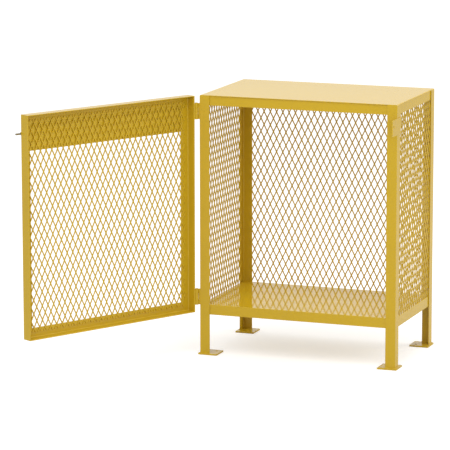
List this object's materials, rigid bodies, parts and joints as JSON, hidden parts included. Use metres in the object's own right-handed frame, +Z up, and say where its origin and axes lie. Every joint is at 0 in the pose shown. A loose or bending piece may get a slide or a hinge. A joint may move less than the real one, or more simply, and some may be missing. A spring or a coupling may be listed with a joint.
{
  "type": "gas cylinder cabinet",
  "caption": "Welded steel mesh cabinet for upright gas cylinders, with a solid top and floor, legs with anchor plates, and a hinged mesh door with a slide bolt.",
  "frame": {"origin": "on the floor, at the centre of the pattern of four anchor holes in the foot plates", "axes": "+Z up, +X to the right seen from the front, +Y to the back; the door opening faces -Y"},
  "size_m": [1.2137, 1.15, 0.981],
  "materials": {
    "yellow_enamel": "gloss",
    "zinc_steel": "satin"
  },
  "bodies": {
    "cabinet": {"post_front_left": "yellow_enamel", "post_front_right": "yellow_enamel", "post_back_left": "yellow_enamel", "post_back_right": "yellow_enamel", "top_rail_front": "yellow_enamel", "top_rail_right": "yellow_enamel", "top_rail_back": "yellow_enamel", "top_rail_left": "yellow_enamel", "bottom_rail_front": "yellow_enamel", "bottom_rail_right": "yellow_enamel", "bottom_rail_back": "yellow_enamel", "bottom_rail_left": "yellow_enamel", "top_sheet": "yellow_enamel", "floor_sheet": "yellow_enamel", "back_mesh": "yellow_enamel", "left_mesh": "yellow_enamel", "right_mesh": "yellow_enamel", "foot_front_left": "yellow_enamel", "foot_front_right": "yellow_enamel", "foot_back_left": "yellow_enamel", "foot_back_right": "yellow_enamel", "upper_frame_leaf": "yellow_enamel", "lower_frame_leaf": "yellow_enamel", "upper_hinge_pin": "yellow_enamel", "lower_hinge_pin": "yellow_enamel", "keeper_plate": "yellow_enamel"},
    "door": {"door_hinge_stile": "yellow_enamel", "door_free_stile": "yellow_enamel", "door_top_rail": "yellow_enamel", "door_bottom_rail": "yellow_enamel", "door_mesh": "yellow_enamel", "door_sign_plate": "yellow_enamel", "upper_door_leaf": "yellow_enamel", "lower_door_leaf": "yellow_enamel", "outer_bolt_guide": "yellow_enamel", "inner_bolt_guide": "yellow_enamel", "padlock_lug": "yellow_enamel"},
    "bolt": {"bolt_rod": "zinc_steel", "bolt_handle": "zinc_steel"}
  },
  "joints": [
    {"name": "door_hinge", "type": "hinge", "parent": "cabinet", "child": "door", "pos_m": [-0.3935, -0.2357, 0.5705], "axis": [0, 0, 1], "range_deg": [-60.6, 119.4]},
    {"name": "bolt_slide", "type": "slide", "parent": "door", "child": "bolt", "axis": [-0.4909, -0.8712, 0], "range_m": [-0.032, 0]}
  ]
}
